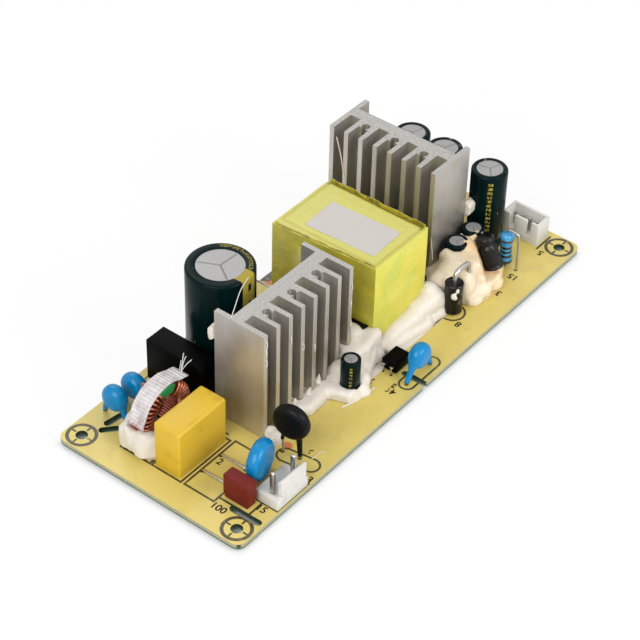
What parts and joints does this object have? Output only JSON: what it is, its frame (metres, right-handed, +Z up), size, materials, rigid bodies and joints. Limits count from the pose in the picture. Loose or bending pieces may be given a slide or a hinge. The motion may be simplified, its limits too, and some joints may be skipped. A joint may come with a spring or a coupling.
{
  "type": "switching power supply module",
  "caption": "Open-frame switching power supply: a long circuit board with finned heatsinks, a taped transformer, capacitors, a filter choke and two headers.",
  "frame": {"origin": "centre of the four mounting holes, on the board's component face", "axes": "+X along the board from the mains end to the output end, +Z up from the component face, +Y across the board to the side with the large capacitor"},
  "size_m": [0.15, 0.06, 0.0388],
  "materials": {
    "black_moulding": "matt",
    "tinned_metal": "satin",
    "can_aluminium": "satin",
    "green_sleeve": "gloss",
    "green_core": "satin",
    "paper": "matt",
    "white_silicone": "satin",
    "enamelled_copper": "gloss",
    "laminate": "matt",
    "yellow_case": "gloss",
    "red_case": "satin",
    "grey_pad": "matt",
    "white_plastic": "satin",
    "cream_silicone": "satin",
    "extruded_aluminium": "satin",
    "blue_coating": "gloss",
    "solder": "satin",
    "resistor_lacquer": "gloss",
    "black_coating": "satin",
    "ferrite": "matt",
    "pale_label": "satin",
    "yellow_tape": "gloss",
    "varistor_coating": "gloss"
  },
  "bodies": {
    "root": {"bridge_rectifier_body": "black_moulding", "bridge_rectifier_leads": "tinned_metal", "capacitor_can_tops": "can_aluminium", "capacitor_leads": "tinned_metal", "capacitor_sleeves": "green_sleeve", "choke_core": "green_core", "choke_paper_band": "paper", "choke_silicone": "white_silicone", "choke_winding_left": "enamelled_copper", "choke_winding_right": "enamelled_copper", "circuit_board": "laminate", "film_capacitor_case": "yellow_case", "film_capacitor_leads": "tinned_metal", "front_silicone": "white_silicone", "fuse_base": "red_case", "fuse_cap": "red_case", "fuse_leads": "tinned_metal", "heatsink_pins": "tinned_metal", "heatsink_screws": "tinned_metal", "insulating_pads": "grey_pad", "jumper_wires": "tinned_metal", "mains_header_body": "white_plastic", "mains_header_pins": "tinned_metal", "optocoupler_body": "black_moulding", "optocoupler_legs": "tinned_metal", "output_header_body": "white_plastic", "output_header_pins": "tinned_metal", "output_rectifier_case": "black_moulding", "output_rectifier_legs": "tinned_metal", "output_rectifier_tab": "tinned_metal", "output_silicone": "cream_silicone", "primary_heatsink": "extruded_aluminium", "rod_choke_core": "black_moulding", "rod_choke_leads": "tinned_metal", "safety_capacitor_leads": "tinned_metal", "safety_capacitors": "blue_coating", "secondary_heatsink": "extruded_aluminium", "silicone_dabs": "white_silicone", "solder_joints": "solder", "standing_diode_body": "black_moulding", "standing_diode_leads": "tinned_metal", "standing_resistor_body": "resistor_lacquer", "standing_resistor_leads": "tinned_metal", "switch_transistor_case": "black_moulding", "switch_transistor_legs": "tinned_metal", "switch_transistor_tab": "tinned_metal", "thermistor_body": "black_coating", "thermistor_leads": "tinned_metal", "transformer_bobbin": "black_moulding", "transformer_core": "ferrite", "transformer_label": "pale_label", "transformer_pins": "tinned_metal", "transformer_tape": "yellow_tape", "transformer_winding": "enamelled_copper", "varistor_body": "varistor_coating", "varistor_leads": "tinned_metal"}
  },
  "joints": []
}
